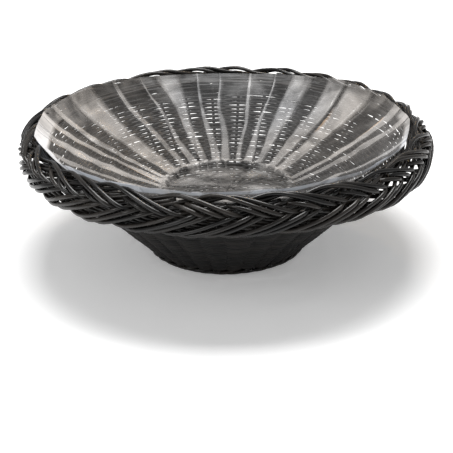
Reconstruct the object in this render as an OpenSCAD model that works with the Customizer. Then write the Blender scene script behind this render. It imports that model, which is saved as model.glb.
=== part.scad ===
// Round flared wicker basket: a pierced-stick base, upright stakes, a woven side,
// a three-strand plaited border and a loose film liner that hangs from the rim.
// Origin at the centre of the base, on the surface it stands on. +Z up.

/* [Basket] */
// Diameter over the outside of the plaited border
rim_d = 450; // [390:1:540]
// Height from the floor to the top of the border
height = 147; // [122:1:176]
// Diameter of the base, to where the stakes turn up
base_d = 157; // [130:1:190]

/* [Rods] */
// Thickness of a stake
stake_d = 3.6; // [2.8:0.1:4.4]
// Thickness of a side or base weaver
weaver_d = 2.6; // [2:0.1:3.2]
// Thickness of a base stick
stick_d = 6; // [4.8:0.1:7.2]
// Thickness of an upsett rod, at the foot
upsett_d = 3.4; // [2.8:0.1:4.1]
// Thickness of a border rod
border_rod_d = 4.6; // [3.8:0.1:5.6]

/* [Border] */
// Times that each strand goes down and up on its way round
plait_waves = 8; // [7:1:9]
// Width of the plait, measured round its rounded face
plait_w = 46; // [38:0.5:55]
// Radius of the plait's rounded face
plait_r = 20.5; // [17:0.5:25]
// Direction that the middle of the plait faces, in degrees above level
plait_tilt = 19; // [15:1:23]

/* [Liner] */
// Diameter of the liner's flat bottom
liner_floor_d = 144; // [115:1:170]
// Depth of the liner's bottom below its edge
liner_depth = 72; // [60:1:80]
// Thickness of the film's solid
film_t = 0.5; // [0.4:0.1:0.6]

/* [Hidden] */
$fn = 48;
fine = 360;           // facets on the large round shapes
clearance = 0.15;     // between a rod and the rods that hold it
rod_gap = 0.3;        // between rods that lie side by side

// Levels of the base, from the floor up: weavers, sticks, weavers.
stick_z = weaver_d + clearance + stick_d / 2;
over_z = stick_z + stick_d / 2 + clearance;

// The border: the plait curls round a centre line inside the rim.
strands = 3;
rods_in_strand = 3;
strand_w = rods_in_strand * border_rod_d + (rods_in_strand - 1) * rod_gap;
wave = (plait_w - strand_w) / 2;              // a strand's swing each way from the middle line
lift = 0.74 * border_rod_d;                   // its swing in and out at a crossing
curl_x = rim_d / 2 - plait_r - lift - border_rod_d / 2;

// Distance of a strand from the plait's centre line, and the angle it is at above level, t along a wave.
function over_under(t) = let (s = sin(2 * t)) sign(s) * (1 - pow(1 - abs(s), 3));
function reach_at(t) = plait_r + lift * over_under(t);
function face_at(t, aside) = plait_tilt + (wave * cos(t) / plait_r + aside / reach_at(t)) * 180 / PI;
top_rod = (strand_w - border_rod_d) / 2;      // the rod that passes highest, from its strand's middle
peak = max([for (t = [-60 : 2 : 60]) reach_at(t) * sin(face_at(t, top_rod))]) + border_rod_d / 2;
curl_z = height - peak;

// A stake lies level beside a stick, turns up round bend_r and runs straight into the border.
bend_r = 12;
shell_in = stake_d / 2 + clearance;           // nearest a weaver comes to a stake's centreline
shell_out = shell_in + weaver_d;
bend = [base_d / 2, stick_z + bend_r];
to_curl = [curl_x, curl_z] - bend;
slope = atan2(to_curl.y, to_curl.x) + asin(bend_r / norm(to_curl));
up_side = [cos(slope), sin(slope)];           // along the side
off_side = [sin(slope), -cos(slope)];         // out of the side
side_start = bend + bend_r * off_side;
side_len = (to_curl - bend_r * off_side) * up_side;

// The top of the side bows up behind the plait's ridge.
bow_r = 30;
bow = 35;                                     // degrees
straight_len = side_len - 22;
bow_end = straight_len + bow_r * bow * PI / 180;
stake_top = bow_end + 11;
weave_top = bow_end + 8;
side_cuts = [straight_len, straight_len + (bow_end - straight_len) / 3,
             straight_len + 2 * (bow_end - straight_len) / 3, bow_end];

// Heading of the side's middle line, s along it, and a place off it.
function heading_at(s) = slope + max(0, min(bow, (s - straight_len) / bow_r * 180 / PI));
function side_at(s, off) =
    let (h = heading_at(s), away = [sin(h), -cos(h)], tail = max(0, s - bow_end))
    side_start + min(s, straight_len) * up_side - bow_r * off_side + (bow_r + off) * away
        + tail * [cos(h), sin(h)];

module cube_at(centre, size) translate(centre) cube(size, center = true);

// A solid through a row of sections, either closed into a ring or capped at both ends.
module skin(sections, ring) {
    n = len(sections);
    sides = len(sections[0]);
    between = [
        for (i = [0 : ring ? n - 1 : n - 2]) for (k = [0 : sides - 1])
            let (a = i * sides, b = (i + 1) % n * sides, m = (k + 1) % sides)
            for (face = [[a + k, a + m, b + m], [a + k, b + m, b + k]])
                face
    ];
    caps = [[for (k = [sides - 1 : -1 : 0]) k], [for (k = [0 : sides - 1]) (n - 1) * sides + k]];
    polyhedron([for (s = sections) for (p = s) p], concat(between, ring ? [] : caps));
}

// A rod through stations in the XY plane, each [x, y, heading].
module bent_rod(stations, d, sides)
    skin([for (s = stations)
             [for (k = [0 : sides - 1])
                  let (a = 360 * (k + 0.5) / sides, across = d / 2 * cos(a))
                  [s.x - across * sin(s.z), s.y + across * cos(s.z), d / 2 * sin(a)]]], false);

// ---- Base sticks: four pierced sticks along X, five pushed through them along Y ----
pierced = 4;
through = 5;
stick_ends = 2 * (pierced + through);
stick_pitch = stick_d + rod_gap;
slath_x = through * stick_pitch / 2 + 2;      // half the cross's size along X
slath_y = pierced * stick_pitch / 2 + 2;      // and along Y
stick_end = base_d / 2 - 4;
fan_r = 15;                                   // radius of a stick's bend towards its spoke
bend_steps = 4;
stick_sides = 12;
stagger = 2;                                  // each stick bends this much before the next one in
tongue_t = stick_d * 0.42;                    // a through stick is pared this thin in the middle

// Places and headings along half a stick: out of the cross, round the bend, to the end.
function half_stick(offset, half, spoke) =
    let (tip = stick_end * [cos(spoke), sin(spoke)],
         to_tip = [tip.x - half, abs(tip.y) - abs(offset) - fan_r],
         heading = sign(spoke) * (atan2(to_tip.y, to_tip.x) + asin(fan_r / norm(to_tip))),
         round_bend = [for (q = [0 : bend_steps])
                           let (t = heading * q / bend_steps)
                           [half + fan_r * sin(abs(t)), offset + sign(t) * fan_r * (1 - cos(t)), t]])
    concat(spoke == 0 ? [] : round_bend, [[tip.x, tip.y, heading]]);

// One stick: straight through the cross, then bent at each end towards its own spoke.
module fanned_stick(offset, half, spoke) {
    right = half_stick(offset, half, spoke);
    left = [for (i = [len(right) - 1 : -1 : 0]) [-right[i].x, right[i].y, -right[i].z]];
    translate([0, 0, stick_z]) bent_rod(concat(left, right), stick_d, stick_sides);
}

function spoke_of(i, count) = (i - (count - 1) / 2) * 360 / stick_ends;
function offset_of(i, count) = (i - (count - 1) / 2) * stick_pitch;
function bend_of(i, count, half) = half + stagger * ((count - 1) / 2 - abs(i - (count - 1) / 2));

module base_sticks_pierced() color("#2a2522")
    difference() {
        for (i = [0 : pierced - 1])
            fanned_stick(offset_of(i, pierced), bend_of(i, pierced, slath_x), spoke_of(i, pierced));
        cube_at([0, 0, stick_z], [2 * slath_x - 3, 2 * slath_y + 2, tongue_t + 2 * clearance]);
    }

module base_sticks_through() color("#2a2522")
    difference() {
        rotate(90)
            for (i = [0 : through - 1])
                fanned_stick(offset_of(i, through), bend_of(i, through, slath_y), spoke_of(i, through));
        for (side = [-1, 1])
            cube_at([0, 0, stick_z + side * (tongue_t + stick_d) / 2],
                    [2 * slath_x + 2, 2 * slath_y - 3, stick_d]);
    }

// ---- Base weavers: the rounds under the sticks and the rounds over them ----
hub_r = norm([slath_x, slath_y]) + 1;
module round_of_weavers(z, r) translate([0, 0, z])
    difference() {
        cylinder(r = r, h = weaver_d, $fn = fine);
        translate([0, 0, -1]) cylinder(r = hub_r, h = weaver_d + 2, $fn = fine);
    }
module base_weavers_under() color("#191716")
    round_of_weavers(0, base_d / 2 - upsett_d / 2 - clearance);
module base_weavers_over() color("#191716")
    round_of_weavers(over_z, base_d / 2);

// ---- Upsett: three thick rods wound round the outside of the stakes' bends ----
upsett_r = bend_r + shell_in + upsett_d / 2;
upsett_step = 2 * asin((upsett_d + rod_gap) / 2 / upsett_r);
module upsett_rod(i) color("#151413")
    translate([0, 0, bend.y - upsett_r * cos(i * upsett_step)])
        rotate_extrude($fn = fine)
            translate([bend.x + upsett_r * sin(i * upsett_step), 0]) circle(d = upsett_d);

// ---- Stakes: the 18 on one side of the base sticks, then the 18 on the other ----
stake_count = 2 * stick_ends;
stake_turn = 360 / stake_count;
stick_drift = 0.8;    // sticks stray this far from their spokes beside the stakes' legs
beside_stick = (stick_d + stake_d) / 2 + clearance + stick_drift;
leg = min(14, base_d / 2 - beside_stick / sin(stake_turn / 2));   // pushed in beside the stick
stake_sides = 8;
module stake() rotate([90, 0, 0])
    bent_rod(concat([[bend.x - leg, stick_z, 0]],
                    [for (q = [0 : bend_steps])
                         let (a = slope * q / bend_steps)
                         [bend.x + bend_r * sin(a), bend.y - bend_r * cos(a), a]],
                    [for (s = concat(side_cuts, stake_top))
                         let (at = side_at(s, 0)) [at.x, at.y, heading_at(s)]]), stake_d, stake_sides);
module stakes(side) color("#1d1b1a")
    for (i = [0 : stake_count / 2 - 1])
        rotate(spoke_of(0, pierced) + (2 * i + side / 2) * stake_turn) stake();

// ---- Side weavers: the rows inside the stakes and the rows outside them ----
// A flared band between two offsets from the side's middle line, from low along it to its top.
module side_band(near, far, low)
    rotate_extrude($fn = fine) {
        cuts = concat(low, side_cuts, weave_top);
        n = len(cuts) - 1;
        polygon(concat([for (i = [0 : n]) side_at(cuts[i], far)],
                       [for (i = [n : -1 : 0]) side_at(cuts[i], near)]));
    }

upsett_top = 2.5 * upsett_step - slope;       // degrees by which the upsett passes the bend's end
outside_low = max(0.5, upsett_r * tan(max(0, upsett_top)) + clearance);
inside_low = 1;
module side_weavers_outside() color("#161514")
    side_band(shell_in, shell_out, outside_low);
module side_weavers_inside() color("#161514")
    side_band(-shell_out, -shell_in, inside_low);

// ---- Border: a plait of three strands, each of three rods ----
rings = 16 * plait_waves;
rod_sides = 6;
plait_x = curl_x + plait_r * cos(plait_tilt);
// One rod of a strand at one angle: [its place, the way its face of the plait looks].
function rod_point(turn, phase, side) =
    let (t = plait_waves * turn + phase,
         rise = -wave * sin(t) * plait_waves / plait_x,
         stretch = sqrt(1 + rise * rise),
         r_here = reach_at(t),
         face = face_at(t, side / stretch),
         r = curl_x + r_here * cos(face),
         a = turn - side * rise / stretch / r * 180 / PI)
    [[r * cos(a), r * sin(a), curl_z + r_here * sin(face)],
     [cos(face) * cos(a), cos(face) * sin(a), sin(face)]];

module border_rod(strand, place) color("#191817") {
    side = (place - (rods_in_strand - 1) / 2) * (border_rod_d + rod_gap);
    line = [for (i = [0 : rings - 1])
                rod_point(360 * i / rings, strand * 360 / strands, side)];
    skin([for (i = [0 : rings - 1])
              let (ahead = line[(i + 1) % rings][0] - line[(i + rings - 1) % rings][0],
                   level = cross(ahead, line[i][1]),
                   across = level / norm(level),
                   out = cross(across, ahead) / norm(ahead))
              [for (k = [0 : rod_sides - 1])
                   let (a = 360 * k / rod_sides)
                   line[i][0] + border_rod_d / 2 * (cos(a) * across + sin(a) * out)]], true);
}

// ---- Liner: a flat film bottom and a flared film side, open at the top ----
liner_edge = [curl_x, curl_z + plait_r - 1];
module liner() color([0.82, 0.84, 0.86, 0.35]) {
    floor_r = liner_floor_d / 2;
    floor_z = liner_edge.y - liner_depth;
    lean = atan2(liner_depth, liner_edge.x - floor_r);
    rotate_extrude($fn = fine)
        polygon([[0, floor_z], [floor_r, floor_z], liner_edge,
                 liner_edge - [film_t / sin(lean), 0],
                 [floor_r - film_t * tan(lean / 2), floor_z + film_t], [0, floor_z + film_t]]);
}

base_sticks_pierced();
base_sticks_through();
base_weavers_under();
base_weavers_over();
upsett_rod(0);  // upsett_rod_low
upsett_rod(1);  // upsett_rod_middle
upsett_rod(2);  // upsett_rod_high
stakes(1);  // stakes_left_of_sticks
stakes(-1);  // stakes_right_of_sticks
side_weavers_inside();
side_weavers_outside();
border_rod(0, 0);  // border_strand_a_rod_1
border_rod(0, 1);  // border_strand_a_rod_2
border_rod(0, 2);  // border_strand_a_rod_3
border_rod(1, 0);  // border_strand_b_rod_1
border_rod(1, 1);  // border_strand_b_rod_2
border_rod(1, 2);  // border_strand_b_rod_3
border_rod(2, 0);  // border_strand_c_rod_1
border_rod(2, 1);  // border_strand_c_rod_2
border_rod(2, 2);  // border_strand_c_rod_3
liner();
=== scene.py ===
import math
import random

import bmesh
import bpy
from mathutils import Matrix, Vector, noise


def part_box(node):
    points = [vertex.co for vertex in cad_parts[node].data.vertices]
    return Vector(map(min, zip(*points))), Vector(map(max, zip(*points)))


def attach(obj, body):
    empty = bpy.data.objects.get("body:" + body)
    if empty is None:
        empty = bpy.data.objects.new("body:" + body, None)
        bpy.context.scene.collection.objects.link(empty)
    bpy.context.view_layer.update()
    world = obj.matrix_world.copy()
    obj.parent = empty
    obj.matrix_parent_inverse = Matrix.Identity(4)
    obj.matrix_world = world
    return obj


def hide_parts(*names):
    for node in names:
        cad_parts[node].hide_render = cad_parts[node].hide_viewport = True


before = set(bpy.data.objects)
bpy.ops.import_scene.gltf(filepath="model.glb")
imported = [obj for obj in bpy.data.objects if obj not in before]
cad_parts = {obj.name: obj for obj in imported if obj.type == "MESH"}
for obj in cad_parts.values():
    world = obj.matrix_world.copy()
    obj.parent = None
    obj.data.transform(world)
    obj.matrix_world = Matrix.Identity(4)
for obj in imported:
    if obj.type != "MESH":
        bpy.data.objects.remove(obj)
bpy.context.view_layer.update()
noise.seed_set(5)

MM = 0.001
TURN = 2 * math.pi

# ---------------------------------------------------------------- sizes, from the frame

base_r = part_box("base_weavers_over")[1].x
sticks_low, sticks_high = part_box("base_sticks_pierced")
stick_z = (sticks_low.z + sticks_high.z) / 2
stick_end = sticks_high.x
liner_low, liner_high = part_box("liner")

# Thickness of each kind of rod.
BORDER_ROD = 4.7 * MM
STAKE = 3.6 * MM
WEAVER = 3.5 * MM
UPSETT = 3.4 * MM
STICK = 6 * MM
BASE_WEAVER = 2.6 * MM

STAKES = 36
SPOKES = 18

# The plait curls round a centre line inside the rim; each rod goes over and under on its way.
PLAIT_STRANDS = 5
RODS_IN_STRAND = 3
WAVES = 5
PLAIT_R = 21.6 * MM
HALF_PLAIT = 20 * MM
PLAIT_TILT = math.radians(19)
PLAIT_START = math.radians(-114)
LIFT = 3.2 * MM
curl_r = liner_high.x + 1.5 * MM
curl_z = liner_high.z - 19 * MM

# A stake turns up round BEND_R, runs straight up the side, then bows up behind the plait.
BEND_R = 12 * MM
BOW_R = 30 * MM
BOW = math.radians(35)
bend = Vector((base_r, stick_z + BEND_R))
to_curl = Vector((curl_r, curl_z)) - bend
slope = math.atan2(to_curl.y, to_curl.x) + math.asin(BEND_R / to_curl.length)
up_side = Vector((math.cos(slope), math.sin(slope)))
off_side = Vector((math.sin(slope), -math.cos(slope)))
side_start = bend + BEND_R * off_side
side_len = (to_curl - BEND_R * off_side).dot(up_side)
straight_len = side_len - 22 * MM
bow_end = straight_len + BOW_R * BOW
weave_top = bow_end + 6 * MM


# ---------------------------------------------------------------- rods

def wander(place, size, reach, seed=0.0):
    """A slow, smooth offset that makes a woven rod look laid by hand."""
    return noise.noise_vector(place / reach + Vector((seed, seed * 1.7, seed * 0.3))) * size


def around(radius, turn, height):
    return Vector((radius * math.cos(turn), radius * math.sin(turn), height))


def stations(points, outs, ring):
    """Frames along a path: X faces out of the work, Z runs along the rod."""
    frames = []
    last = len(points) - 1
    for i, (point, out) in enumerate(zip(points, outs)):
        before = points[i - 1] if i > 0 or ring else points[0]
        after = points[(i + 1) % len(points)] if i < last or ring else points[last]
        along = (after - before).normalized()
        across = along.cross(out).normalized()
        face = across.cross(along)
        frame_here = Matrix((face, across, along)).transposed().to_4x4()
        frame_here.translation = point
        frames.append(frame_here)
    return frames


TIP_LENGTH = 0.12  # the chamfer at a cut end, as shares of the rod's thickness
TIP_SIZE = 0.8
CUT_TONE = 3.0  # a tone this high gets the colour of cut wood


def rod(shape, points, outs, thick, sides=8, ring=False, shade=0.5, cut=0.0):
    """Rolls a strip of faces round a path; its length and shade are kept for the finish."""
    frames = stations(points, outs, ring)
    sizes = [thick / 2] * len(frames)
    tones = [shade] * len(frames)
    if ring:
        frames.append(frames[0])
        sizes.append(sizes[0])
        tones.append(shade)
    elif cut:
        for end, way in ((0, -1), (-1, 1)):
            tip = frames[end].copy()
            tip.translation += tip.col[2].xyz * way * TIP_LENGTH * thick
            at = 0 if way < 0 else len(frames)
            frames.insert(at, tip)
            sizes.insert(at, thick / 2 * TIP_SIZE)
            tones.insert(at, cut)
    along_uv = shape.loops.layers.uv.verify()
    tones_kept = shape.verts.layers.float
    tone = tones_kept.get("tone") or tones_kept.new("tone")
    strip = bmesh.ops.create_grid(shape, x_segments=sides, y_segments=len(frames) - 1, size=0.5)
    lengths = [0.0]
    for a, b in zip(frames, frames[1:]):
        lengths.append(lengths[-1] + (b.translation - a.translation).length)
    start = shade * 3.7  # no two rods show the same stretch of grain
    where = {}
    for i, vert in enumerate(strip["verts"]):
        row, column = divmod(i, sides + 1)
        angle = TURN * column / sides
        vert.co = frames[row] @ (sizes[row] * Vector((math.cos(angle), -math.sin(angle), 0)))
        vert[tone] = tones[row]
        where[vert] = (column / sides, lengths[row] + start)
    faces = {face for vert in strip["verts"] for face in vert.link_faces}
    for face in faces:
        face.smooth = True
        for loop in face.loops:
            loop[along_uv].uv = where[loop.vert]


def close_up(shape):
    bmesh.ops.remove_doubles(shape, verts=shape.verts, dist=1e-6)
    edges = [edge for edge in shape.edges if edge.is_boundary]
    if edges:
        bmesh.ops.holes_fill(shape, edges=edges, sides=0)
    bmesh.ops.recalc_face_normals(shape, faces=shape.faces)


def finish_piece(name, shape, finish, body, slot, *nodes, closed=True):
    if closed:
        close_up(shape)
    mesh = bpy.data.meshes.new(name)
    shape.to_mesh(mesh)
    shape.free()
    piece = bpy.data.objects.new(name, mesh)
    bpy.context.collection.objects.link(piece)
    mesh.materials.append(finish)
    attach(piece, body)
    if nodes:
        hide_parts(*nodes)
    return piece


# ---------------------------------------------------------------- finishes

def wire(tree, node, sockets):
    """Sets each input of a node: to another node's output, or to a plain value."""
    for key, value in sockets.items():
        if isinstance(value, bpy.types.NodeSocket):
            tree.links.new(value, node.inputs[key])
        else:
            node.inputs[key].default_value = value


def new_node(tree, kind, sockets, **settings):
    node = tree.nodes.new(kind)
    for key, value in settings.items():
        setattr(node, key, value)
    wire(tree, node, sockets)
    return node


def attribute(tree, name):
    return new_node(tree, "ShaderNodeAttribute", {}, attribute_name=name).outputs["Fac"]


def texture_place(tree):
    return tree.nodes.new("ShaderNodeTexCoord").outputs


def noise_of(tree, place, scale, detail=2.0, distortion=0.0):
    sockets = {"Vector": place, "Scale": scale, "Detail": detail, "Distortion": distortion}
    return new_node(tree, "ShaderNodeTexNoise", sockets).outputs["Fac"]


def ranged(tree, value, low, high, to_low, to_high):
    sockets = {"Value": value, "From Min": low, "From Max": high,
               "To Min": to_low, "To Max": to_high}
    return new_node(tree, "ShaderNodeMapRange", sockets).outputs["Result"]


def worked_out(tree, operation, *values):
    sockets = dict(enumerate(values))
    return new_node(tree, "ShaderNodeMath", sockets, operation=operation).outputs[0]


def mixed(tree, share, a, b):
    sockets = {"Factor": share, "A": a, "B": b}
    return new_node(tree, "ShaderNodeMix", sockets, data_type="RGBA",
                    clamp_factor=True).outputs["Result"]


def bumped(tree, height, strength, distance):
    sockets = {"Height": height, "Strength": strength, "Distance": distance}
    return new_node(tree, "ShaderNodeBump", sockets).outputs["Normal"]


def camera_ray(tree):
    return tree.nodes.new("ShaderNodeLightPath").outputs["Is Camera Ray"]


def new_finish(name):
    finish = bpy.data.materials.new(name)
    finish.use_nodes = True
    return finish, finish.node_tree, finish.node_tree.nodes["Principled BSDF"]


def stained_grain():
    """Colour, gloss and height of black-stained peeled willow, along a rod."""
    tree = bpy.data.node_groups.new("stained willow grain", "ShaderNodeTree")
    for name, kind, value in (("Dark", "NodeSocketColor", (0.006, 0.006, 0.006, 1)),
                              ("Worn", "NodeSocketColor", (0.05, 0.04, 0.032, 1)),
                              ("Cut", "NodeSocketColor", (0.12, 0.1, 0.08, 1)),
                              ("Wear", "NodeSocketFloat", 0.4),
                              ("Gloss", "NodeSocketFloat", 0.35)):
        socket = tree.interface.new_socket(name=name, in_out="INPUT", socket_type=kind)
        socket.default_value = value
    for name, kind in (("Color", "NodeSocketColor"), ("Roughness", "NodeSocketFloat"),
                       ("Height", "NodeSocketFloat")):
        tree.interface.new_socket(name=name, in_out="OUTPUT", socket_type=kind)
    given = tree.nodes.new("NodeGroupInput").outputs
    place = texture_place(tree)
    tone = attribute(tree, "tone")
    along_rod = new_node(tree, "ShaderNodeMapping", {"Vector": place["UV"], "Scale": (9, 35, 1)})
    fibres = noise_of(tree, along_rod.outputs["Vector"], 1.0, 3.0)
    patches = noise_of(tree, place["Object"], 38.0, 4.0)
    specks = noise_of(tree, place["Object"], 900.0)

    worn = worked_out(tree, "ADD",
                      worked_out(tree, "MULTIPLY", ranged(tree, fibres, 0.35, 0.7, 0, 1), 0.35),
                      worked_out(tree, "MULTIPLY", ranged(tree, patches, 0.35, 0.68, 0, 1), 0.55))
    worn = worked_out(tree, "ADD", worn, ranged(tree, tone, 0, 1, -0.35, 0.35))
    worn = worked_out(tree, "MULTIPLY", worn, given["Wear"])
    colour = mixed(tree, worn, given["Dark"], given["Worn"])
    colour = mixed(tree, ranged(tree, tone, 1.5, 2.5, 0, 1), colour, given["Cut"])
    rough = worked_out(tree, "ADD", given["Gloss"], ranged(tree, patches, 0.3, 0.7, -0.06, 0.1))
    rough = worked_out(tree, "ADD", rough, ranged(tree, fibres, 0.3, 0.7, -0.04, 0.06))
    height = worked_out(tree, "ADD", worked_out(tree, "MULTIPLY", fibres, 0.7),
                        worked_out(tree, "MULTIPLY", specks, 0.3))
    new_node(tree, "NodeGroupOutput", {"Color": colour, "Roughness": rough, "Height": height})
    return tree


grain = stained_grain()


def willow(name, dark, worn, wear, gloss, shine=0.32):
    finish, tree, shader = new_finish(name)
    look = tree.nodes.new("ShaderNodeGroup")
    look.node_tree = grain
    wire(tree, look, {"Dark": (*dark, 1), "Worn": (*worn, 1), "Wear": wear, "Gloss": gloss})
    wire(tree, shader, {
        "Base Color": look.outputs["Color"],
        "Roughness": look.outputs["Roughness"],
        "Normal": bumped(tree, look.outputs["Height"], 0.5, 0.12 * MM),
        "Specular IOR Level": shine})
    return finish


def clear_film():
    """Clear film: "haze" says how milky it is and, past 0.3, how much painted glow it gets;
    "glint" paints warm glints along folds.
    """
    finish, tree, shader = new_finish("clear film")
    place = texture_place(tree)["Object"]
    haze_and_painted_glow, painted_glint = attribute(tree, "haze_and_painted_glow"), attribute(tree, "painted_glint")
    patchy = ranged(tree, noise_of(tree, place, 22, 6, 1.6), 0.32, 0.68, 0.35, 1.75)
    facing = new_node(tree, "ShaderNodeLayerWeight", {"Blend": 0.18}).outputs["Facing"]
    milky = worked_out(tree, "MULTIPLY", haze_and_painted_glow, patchy)
    # painted glow: film that is milky enough glows, standing in for light from behind it
    hem_painted_glow = ranged(tree, haze_and_painted_glow, 0.3, 0.9, 0, 0.36)
    wire(tree, shader, {
        "Base Color": mixed(tree, noise_of(tree, place, 5), (0.71, 0.61, 0.5, 1),
                            (0.58, 0.63, 0.7, 1)),
        "Alpha": worked_out(tree, "MULTIPLY_ADD", facing, 0.2, milky),
        "Roughness": 0.27,
        "Specular IOR Level": 0.9,
        "Normal": bumped(tree, noise_of(tree, place, 60, 4), 0.3, 2 * MM),
        # the emission is painted light: a cool glow on milky film, warm painted glints along folds
        "Emission Color": mixed(tree, painted_glint, (0.8, 0.86, 0.95, 1), (1, 0.66, 0.38, 1)),
        "Emission Strength": worked_out(tree, "MULTIPLY_ADD", painted_glint, 0.8, hem_painted_glow)})
    return finish


border_willow = willow("border willow", (0.005, 0.0048, 0.0046), (0.035, 0.029, 0.024),
                       0.7, 0.21, 0.4)
side_willow = willow("side willow", (0.005, 0.005, 0.005), (0.03, 0.026, 0.023), 0.7, 0.36)
stake_willow = willow("stake willow", (0.006, 0.006, 0.006), (0.025, 0.022, 0.02), 0.6, 0.4)
stick_willow = willow("stick willow", (0.01, 0.009, 0.008), (0.07, 0.052, 0.038), 0.8, 0.45)
film = clear_film()


# ---------------------------------------------------------------- plaited border

SHARPNESS = 0.93  # how sharply a rod turns back at the plait's edges; 1 is a zigzag


def plait_place(t, shift):
    """A border rod at t along its wave: how far out it lies, the way it faces, its direction."""
    s = math.sin(2 * t)
    out = math.copysign(1 - (1 - abs(s)) ** (2 + 5 * math.sin(t) ** 2), s)
    swing = math.asin(SHARPNESS * math.cos(t)) / math.asin(SHARPNESS)
    return out, PLAIT_TILT + HALF_PLAIT / PLAIT_R * swing, t / WAVES + shift


def border_rod(shape, index, chance):
    """One rod of the plait; some of each three start at a cut end and stop behind the ridge."""
    place_in_strand = index % RODS_IN_STRAND
    bunched = (index + 0.2 * (1 - place_in_strand)) / RODS_IN_STRAND
    shift = PLAIT_START + bunched * TURN / WAVES / PLAIT_STRANDS
    breaks = [wave for wave in range(WAVES)
              if place_in_strand == 0 or place_in_strand == 1 and chance.random() < 0.3]
    spans = list(zip(breaks, breaks[1:] + [breaks[0] + WAVES])) if breaks else [(0, WAVES)]
    for a, b in spans:
        first, last = TURN * a, TURN * b
        if breaks:
            first += math.radians(chance.uniform(42, 60))
            last -= math.radians(chance.uniform(22, 34))
        count = round((last - first) / TURN * 44)
        seed = chance.uniform(0, 90)
        points, outs = [], []
        for i in range(count):
            t = first + (last - first) * i / (count if not breaks else count - 1)
            out, face, turn = plait_place(t, shift)
            if breaks:
                out = min(out, -0.5 + 1.5 * (t - first) / math.radians(20))
            reach = PLAIT_R + LIFT * out + (0.9 * MM if place_in_strand == 1 else -0.5 * MM)
            outs.append(around(math.cos(face), turn, math.sin(face)))
            point = around(curl_r, turn, curl_z) + reach * outs[-1]
            points.append(point + wander(point, 1.5 * MM, 45 * MM, seed if breaks else index))
        rod(shape, points, outs, BORDER_ROD * chance.uniform(0.92, 1.05), 10, not breaks,
            chance.random(), CUT_TONE if breaks else 0.0)


def border_strands():
    letters = "abc"
    chance = random.Random(40)
    for strand in range(PLAIT_STRANDS):
        shape = bmesh.new()
        for k in range(RODS_IN_STRAND):
            border_rod(shape, strand * RODS_IN_STRAND + k, chance)
        nodes = [f"border_strand_{letters[n // 3]}_rod_{n % 3 + 1}" for n in range(9)
                 if n * PLAIT_STRANDS // 9 == strand]
        finish_piece(f"plait_strand_{strand + 1}", shape, border_willow, "basket", "border_willow",
                     *nodes)


border_strands()


# ---------------------------------------------------------------- stakes

def side_place(along, off, turn):
    """A place on the side, along it from the foot, off its middle line, and the way out of it."""
    climb = slope + max(0.0, min(BOW, (along - straight_len) / BOW_R))
    tail = max(0.0, along - bow_end)
    away = Vector((math.sin(climb), -math.cos(climb)))
    spot = (side_start + min(along, straight_len) * up_side - BOW_R * off_side
            + (BOW_R + off) * away + tail * Vector((math.cos(climb), math.sin(climb))))
    return around(spot.x, turn, spot.y), around(away.x, turn, away.y)


def stakes(name, node, odd):
    shape = bmesh.new()
    chance = random.Random(11 + odd)
    for i in range(STAKES // 2):
        turn = TURN * (2 * i + odd + 0.5) / STAKES
        points, outs = [], []
        for q in range(5):
            points.append(around(base_r - (20 - 5 * q) * MM, turn, stick_z))
            outs.append(Vector((0, 0, -1)))
        for q in range(1, 6):
            a = slope * q / 6
            points.append(around(bend.x + BEND_R * math.sin(a), turn,
                                 bend.y - BEND_R * math.cos(a)))
            outs.append(around(math.sin(a), turn, -math.cos(a)))
        for q in range(24):
            point, out = side_place((weave_top - 2.5 * MM) * q / 23, 0, turn)
            points.append(point + wander(point, 0.5 * MM, 50 * MM))
            outs.append(out)
        rod(shape, points, outs, STAKE, 10, False, chance.random())
    finish_piece(name, shape, stake_willow, "basket", "side_willow", node)


stakes("stakes_even", "stakes_left_of_sticks", 0)
stakes("stakes_odd", "stakes_right_of_sticks", 1)


# ---------------------------------------------------------------- woven side

ROW_PITCH = 2.6 * MM
TOP_PITCH = 3.1 * MM  # the rows lie looser where the side bows up
LOOSER_OVER = 20 * MM
ROW_SWING = 1.9 * MM
STEPS_PER_STAKE = 7
row_places = [0.6 * ROW_PITCH]
while row_places[-1] < weave_top:
    loose = min(1.0, max(0.0, (row_places[-1] - straight_len) / LOOSER_OVER))
    row_places.append(row_places[-1] + ROW_PITCH + (TOP_PITCH - ROW_PITCH) * loose)


def woven_row(shape, row, chance):
    """One weaver on its way round, in front of one stake and behind the next."""
    along = row_places[row]
    count = STAKES * STEPS_PER_STAKE
    seed = chance.uniform(0, 90)
    points, outs = [], []
    for i in range(count):
        turn = TURN * i / count
        bow = math.cos(STAKES / 2 * (turn - TURN * 0.5 / STAKES))
        bow = math.copysign(abs(bow) ** 0.8, bow) * (1 if row % 2 else -1)
        middle = side_place(along, 0, turn)[0]
        nudge = noise.noise(Vector((middle.x * 22, middle.y * 22, row * 0.35)))
        fine = noise.noise(Vector((math.cos(turn) * 9, math.sin(turn) * 9, seed)))
        point, out = side_place(along + nudge * 1.1 * MM + fine * 0.4 * MM,
                                bow * ROW_SWING + nudge * 0.5 * MM, turn)
        points.append(point)
        outs.append(out)
    rod(shape, points, outs, WEAVER * chance.uniform(0.88, 1.06), 6, True, chance.random())


def woven_band(name, rows, *nodes):
    shape = bmesh.new()
    chance = random.Random(rows[0] + 5)
    for row in rows:
        woven_row(shape, row, chance)
    if not nodes:
        closing_rounds(shape)
    finish_piece(name, shape, side_willow, "basket", "side_willow", *nodes)


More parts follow.
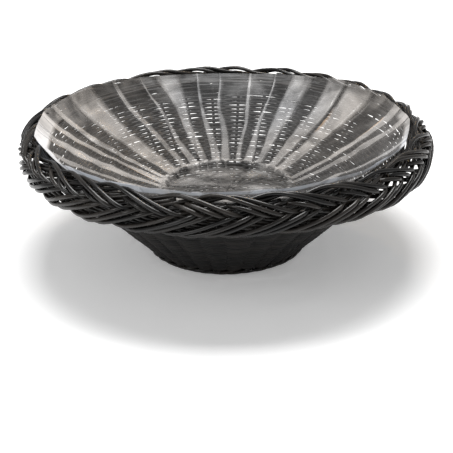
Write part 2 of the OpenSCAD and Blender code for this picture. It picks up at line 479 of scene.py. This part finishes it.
def closing_rounds(shape):
    """Loose rounds that lie on the side's last row and fill the way out to the plait's ridge."""
    chance = random.Random(62)
    for k in range(4):
        count = STAKES * 6
        seed = chance.uniform(0, 90)
        points, outs = [], []
        for i in range(count):
            turn = TURN * i / count
            wave = math.sin(STAKES / 3 * turn - k * TURN / 3)
            point = around(curl_r + (-1.2 + 2.9 * k) * MM, turn,
                           curl_z + (8.6 + 1.6 * k + 0.7 * wave) * MM)
            points.append(point + wander(point, 0.7 * MM, 30 * MM, seed))
            outs.append(Vector((0, 0, 1)))
        rod(shape, points, outs, WEAVER * chance.uniform(0.95, 1.08), 6, True, chance.random())


third = len(row_places) // 3
woven_band("side_weave_low", range(0, third), "side_weavers_inside")
woven_band("side_weave_middle", range(third, 2 * third), "side_weavers_outside")
woven_band("side_weave_high", range(2 * third, len(row_places)))


# ---------------------------------------------------------------- upsett and base

def upsett():
    """Rounds of a three-rod wale at the foot: each rod goes in front of two stakes, behind one."""
    shape = bmesh.new()
    chance = random.Random(3)
    bow_r = BEND_R + STAKE / 2 + UPSETT / 2
    step = (UPSETT + 0.1 * MM) / bow_r
    count = STAKES * 6
    for round_ in range(3):
        for k in range(3):
            points, outs = [], []
            seed = chance.uniform(0, 50)
            for i in range(count):
                turn = TURN * i / count
                t = STAKES / 3 * turn - (k + 0.5) * TURN / 3
                wave, rise = math.cos(t), math.sin(t)
                depth = 0.9 * MM * wave if wave > -0.2 else 4.2 * MM * (wave + 0.2) - 0.18 * MM
                a = (round_ + 0.5) * step * 1.15 + step * 0.42 * rise
                reach = bow_r + depth
                point = around(bend.x + reach * math.sin(a), turn, bend.y - reach * math.cos(a))
                point += wander(point, 0.5 * MM, 30 * MM, seed)
                point.z = max(point.z, UPSETT * 0.47)
                points.append(point)
                outs.append(around(math.sin(a), turn, -math.cos(a)))
            rod(shape, points, outs, UPSETT * 0.85, 8, True, chance.random())
    finish_piece("upsett_wale", shape, border_willow, "basket", "side_willow",
                 "upsett_rod_low", "upsett_rod_middle", "upsett_rod_high")


def base_sticks():
    shape = bmesh.new()
    chance = random.Random(8)
    for count, half, turned in ((4, 17.8 * MM, 0.0), (5, 14.6 * MM, TURN / 4)):
        for i in range(count):
            middle = i - (count - 1) / 2
            offset = middle * (STICK + 0.3 * MM)
            spoke = middle * TURN / SPOKES
            points = []
            for side in (-1, 1):
                arm = [Vector((side * half, offset, 0))]
                for q in range(1, 7):
                    reach = (stick_end - half) * q / 6
                    heading = spoke * min(1, q / 2)
                    arm.append(Vector((side * (half + reach * math.cos(heading)),
                                       offset + reach * math.sin(heading), 0)))
                points += arm[::-1] if side < 0 else arm
            turned_by = Matrix.Rotation(turned, 3, "Z")
            level = Vector((0, 0, stick_z + (0.9 * MM if turned else -0.9 * MM)))
            points = [turned_by @ p + level for p in points]
            rod(shape, points, [Vector((0, 0, -1))] * len(points), STICK * 0.9, 10, False,
                chance.random())
    finish_piece("base_slath", shape, stick_willow, "basket", "stick_willow",
                 "base_sticks_pierced", "base_sticks_through")


def base_weave():
    shape = bmesh.new()
    chance = random.Random(21)
    rows = 24
    for row in range(rows):
        radius = 19.5 * MM + (base_r - 20.5 * MM) * row / (rows - 1)
        count = SPOKES * 8
        points, outs = [], []
        for i in range(count):
            turn = TURN * i / count
            bow = math.cos(SPOKES / 2 * turn) * (1 if row % 2 else -1)
            depth = (STICK + BASE_WEAVER) / 2 * math.copysign(abs(bow) ** 0.7, bow) * 0.95
            point = around(radius, turn, stick_z + depth)
            point += wander(point, 0.5 * MM, 30 * MM, row)
            point.z = max(point.z, 0.55 * BASE_WEAVER)
            points.append(point)
            outs.append(Vector((0, 0, -1)))
        rod(shape, points, outs, BASE_WEAVER * 1.05, 6, True, chance.random())
    finish_piece("base_weave", shape, side_willow, "basket", "side_willow",
                 "base_weavers_under", "base_weavers_over")


upsett()
base_sticks()
base_weave()


# ---------------------------------------------------------------- film liner

RING_R = 72 * MM  # the gathered ring round the flat bottom, not quite in the middle
RING_AT = Vector((1, -15, 0)) * MM
RING_Z = liner_low.z + 8 * MM
SIDE_R = RING_R * 1.02
EDGE_R = liner_high.x + 7 * MM
EDGE_Z = liner_high.z - 4 * MM
EDGE_RISE = 10 * MM  # the edge climbs onto the plait, less so at the back
EDGE_DROP = 8 * MM
EDGE_SHIFT = 3 * MM
CORNER_EVERY = 24  # degrees; between these corners the edge is straighter
LAYER_GAP = 0.3 * MM

GAP_STEPS = 12
LAYERS = 3
LAYER_STEPS = 4
FLAT_SHARE = 0.2  # how far a pleat spreads into the gaps beside it, on the flat bottom

# Each pleat: direction in degrees, width in mm at the edge and at the ring, how soon it narrows.
PLEATS = [(3, 14, 8, 1), (12, 22, 8, 1), (35, 50, 13, 1.2), (46.5, 30, 12, 1.3),
          (60.5, 32, 7, 1), (71, 1, 12, 0.7), (80, 4, 6, 1), (91, 1, 13, 0.6),
          (99, 2, 12, 0.8), (110, 36, 9, 3), (120, 1, 13, 0.6), (131, 6, 7, 1),
          (147, 48, 20, 1.2), (163, 9, 5, 1), (171, 12, 9, 1), (183, 20, 8, 1),
          (199, 24, 10, 1), (221, 14, 10, 1), (242, 34, 8, 1), (263, 10, 10, 1),
          (281, 26, 8, 1), (302, 12, 10, 1), (322, 30, 12, 1), (343, 16, 8, 1)]


def share(value, low=0.0, high=1.0):
    return max(0.0, min(1.0, (value - low) / (high - low)))


def wrinkle(turn, size, level):
    """Smooth noise round the film, the same at both ends of the turn."""
    return noise.noise(Vector((math.cos(turn) * size, math.sin(turn) * size, level)))


def film_rows():
    """From the middle of the floor out to the edge: radius, height, how far up the side."""
    rows = []
    for i in range(10):
        rows.append((RING_R * (0.02 + 0.88 * i / 9), -5 * MM - 2 * MM * (1 - i / 9), 0.0))
    for i in range(1, 7):
        bead = math.pi * i / 6
        rows.append((RING_R * 0.9 + RING_R * 0.12 * (1 - math.cos(bead)) / 2,
                     -5 * MM + 5 * MM * i / 6 + 5 * MM * math.sin(bead), 0.0))
    for i in range(1, 35):
        rows.append((0.0, 0.0, i / 34))
    return rows


def film_columns():
    """Round the film: the pleats before and after, the layer, the step, the bottom's direction."""
    columns = []
    last, first = PLEATS[-1], PLEATS[0]
    behind = (last[0] - 360, *last[1:])
    for pleat, ahead in zip(PLEATS, PLEATS[1:] + [(first[0] + 360, *first[1:])]):
        gap, beyond = pleat[0] - behind[0], ahead[0] - pleat[0]
        for q in range(GAP_STEPS):
            flat = behind[0] + gap * (FLAT_SHARE + (1 - 2 * FLAT_SHARE) * q / GAP_STEPS)
            columns.append((behind, pleat, None, q / GAP_STEPS, flat))
        steps = LAYERS * LAYER_STEPS
        for step in range(steps):
            flat = pleat[0] - FLAT_SHARE * gap + FLAT_SHARE * (gap + beyond) * step / steps
            layer, q = divmod(step, LAYER_STEPS)
            columns.append((pleat, pleat, layer, q / LAYER_STEPS, flat))
        behind = pleat
    columns.append(((last[0] - 360, *last[1:]), first, None, 0.0,
                    last[0] + FLAT_SHARE * (first[0] + 360 - last[0])))
    return columns


def half_pleat(pleat, climb):
    """Half of a pleat's width, as an angle, that far up the side."""
    wide = pleat[2] + (pleat[1] - pleat[2]) * climb ** pleat[3]
    return wide / 2 * MM / (RING_R + (EDGE_R - RING_R) * climb)


def film_turn(column, floor_r, climb):
    """The direction of a place on the film, and its lift where pleats lie on each other."""
    before, after, layer, q, flat = column
    if layer is None:
        low = math.radians(before[0]) + half_pleat(before, climb)
        high = math.radians(after[0]) - half_pleat(after, climb)
        turn = low + (high - low) * q
        lift = 0.0
    else:
        forth = 2 * q - 1 if layer != 1 else 1 - 2 * q
        turn = math.radians(after[0]) + half_pleat(after, climb) * forth
        lift = (layer + q - 0.5) * LAYER_GAP
    if climb:
        turn += 0.05 * math.sin(math.pi * climb) * wrinkle(turn, 4, climb * 2.2)
    else:
        flat = math.radians(flat)
        folded = share(floor_r / RING_R, 0.88, 1)
        turn = flat + math.remainder(turn - flat, TURN) * folded
    return turn, lift


def film_place(turn, lift, floor_r, rise, climb):
    radius = floor_r
    if climb:
        corner = abs((math.degrees(turn) / CORNER_EVERY) % 1 - 0.5) * 2
        radius = SIDE_R + (EDGE_R - 3 * MM * (1 - corner ** 2) - SIDE_R) * climb
        at_back = share(math.sin(turn), 0.72)
        rise = ((EDGE_Z - RING_Z) * climb - 4 * MM * math.sin(math.pi * climb)
                + (EDGE_RISE - EDGE_DROP * at_back) * climb ** 9)
    point = around(radius, turn, RING_Z + rise) + RING_AT * (1 - climb)
    point.x -= EDGE_SHIFT * climb
    crumple = (1 - abs(noise.noise(point * 40)) * 2) * 1.6 + noise.noise(point * 110) * 0.9
    slack = math.sin(math.pi * climb) if climb else 0.5
    ripple = 3 * wrinkle(turn, 9, climb * 0.8)
    point.z += lift + (ripple * slack + crumple * (0.35 + 0.65 * slack)) * MM
    if 0 < climb < 0.2 or not climb and floor_r > RING_R * 0.85:
        point.z += 2.4 * MM * wrinkle(turn, 26, 4)
    return point


def film_haze_and_painted_glow(point, turn, floor_r, climb, pleat, layer, q):
    """How milky the film looks at a place, and past 0.3 how much painted glow it gets: its hem,
    its pleats, streaks on the bottom.
    """
    if not climb:
        streak = 1 - abs(noise.noise(Vector((point.x * 9 + point.y * 6, point.y * 42, 3)))) * 4
        return 0.05 + 0.2 * max(0.0, streak) + (0.06 if floor_r > RING_R * 0.93 else 0.0)
    left = max(0.0, -math.cos(turn))
    # the hem is milkier and glows on its near side and to the left: painted backlight
    if climb > 0.95 - 0.05 * left:
        near = share(0.6 - 1.2 * math.sin(turn))
        return 0.07 + near * (0.58 + 0.3 * left)
    right = max(0.0, math.cos(turn - 0.5))
    amount = (0.02 if layer is None else 0.074) * (1 + 1.3 * left ** 6 + right ** 4)
    amount += 0.16 * max(0.0, wrinkle(turn, 5, 2 + climb * 3)) * share(climb, 0.74, 0.82)
    # painted highlight lines along the pleats' fold edges
    if layer and q == 0:
        amount += 0.3 * max(0.0, noise.noise(Vector((pleat[0], climb * 3, layer))))
    return amount


def liner():
    shape = bmesh.new()
    haze_and_painted_glow = shape.verts.layers.float.new("haze_and_painted_glow")
    painted_glint = shape.verts.layers.float.new("painted_glint")
    columns, rows = film_columns(), film_rows()
    strip = bmesh.ops.create_grid(shape, x_segments=len(columns) - 1,
                                  y_segments=len(rows) - 1, size=0.5)
    for i, vert in enumerate(strip["verts"]):
        row, column = divmod(i, len(columns))
        floor_r, rise, climb = rows[row]
        pleat, layer, q = columns[column][1:4]
        turn, lift = film_turn(columns[column], floor_r, climb)
        vert.co = film_place(turn, lift, floor_r, rise, climb)
        vert[haze_and_painted_glow] = film_haze_and_painted_glow(vert.co, turn, floor_r, climb, pleat, layer, q)
        # painted warm glints along the middle layer's fold edge, broken by noise
        if layer == 1 and q == 0 and 0.04 < climb < 0.9:
            shine = noise.noise(Vector((pleat[0] * 0.37, climb * 2.4, 8)))
            vert[painted_glint] = max(0.0, shine - 0.12) * 3
    bmesh.ops.remove_doubles(shape, verts=shape.verts, dist=1e-6)
    bmesh.ops.recalc_face_normals(shape, faces=shape.faces)
    for face in shape.faces:
        face.smooth = True
    piece = finish_piece("film_liner", shape, film, "liner", "clear_film", "liner", closed=False)


liner()


# ---------------------------------------------------------------- floor, light and camera

FLOOR_SIZE = 6
FLOOR_GLOW = 0.25  # these two lift the floor and the backdrop to white in the camera's eye only
SKY_GLOW = 1.0
SKY_LIGHT = 0.4
EYE = (0, -1.2126, 0.57)
LOOK_DOWN = 24.4
ROLL = 0.6
LENS = 92.4


def stage():
    shape = bmesh.new()
    bmesh.ops.create_grid(shape, x_segments=1, y_segments=1, size=FLOOR_SIZE)
    mesh = bpy.data.meshes.new("floor")
    shape.to_mesh(mesh)
    shape.free()
    floor = bpy.data.objects.new("floor", mesh)
    bpy.context.collection.objects.link(floor)
    finish, tree, shader = new_finish("pale floor")
    wire(tree, shader, {
        "Base Color": (0.9, 0.9, 0.9, 1),
        "Roughness": 0.9,
        "Emission Color": (1, 1, 1, 1),
        "Emission Strength": worked_out(tree, "MULTIPLY", camera_ray(tree), FLOOR_GLOW)})
    mesh.materials.append(finish)


def softbox(name, place, target, size, power, colour=(1, 1, 1)):
    light = bpy.data.lights.new(name, "AREA")
    light.shape = "RECTANGLE"
    light.size, light.size_y = size
    light.energy = power
    light.color = colour
    lamp = bpy.data.objects.new(name, light)
    lamp.location = place
    lamp.rotation_euler = (Vector(target) - Vector(place)).to_track_quat("-Z", "Y").to_euler()
    bpy.context.collection.objects.link(lamp)


def studio():
    world = bpy.data.worlds.new("studio")
    bpy.context.scene.world = world
    world.use_nodes = True
    tree = world.node_tree
    strength = ranged(tree, camera_ray(tree), 0, 1, SKY_LIGHT, SKY_GLOW)
    wire(tree, tree.nodes["Background"], {"Color": (1, 1, 1, 1), "Strength": strength})
    softbox("overhead", (0, 0.25, 1.8), (0, 0, 0), (1.2, 0.8), 40)
    softbox("left front", (-1.5, -1.2, 1.3), (0, 0, 0.1), (0.8, 0.8), 8)
    softbox("warm glint", (0.35, 1.3, 1.2), (0, 0, 0.1), (0.1, 0.1), 1.2, (1, 0.7, 0.4))
    bpy.context.scene.view_settings.view_transform = "Standard"


def camera():
    eye = bpy.data.cameras.new("camera")
    eye.lens = LENS
    eye.sensor_width = 36
    view = bpy.data.objects.new("camera", eye)
    view.location = EYE
    tip = Matrix.Rotation(math.radians(90 - LOOK_DOWN), 3, "X")
    view.rotation_euler = (tip @ Matrix.Rotation(math.radians(-ROLL), 3, "Z")).to_euler()
    bpy.context.collection.objects.link(view)
    bpy.context.scene.camera = view


stage()
studio()
camera()
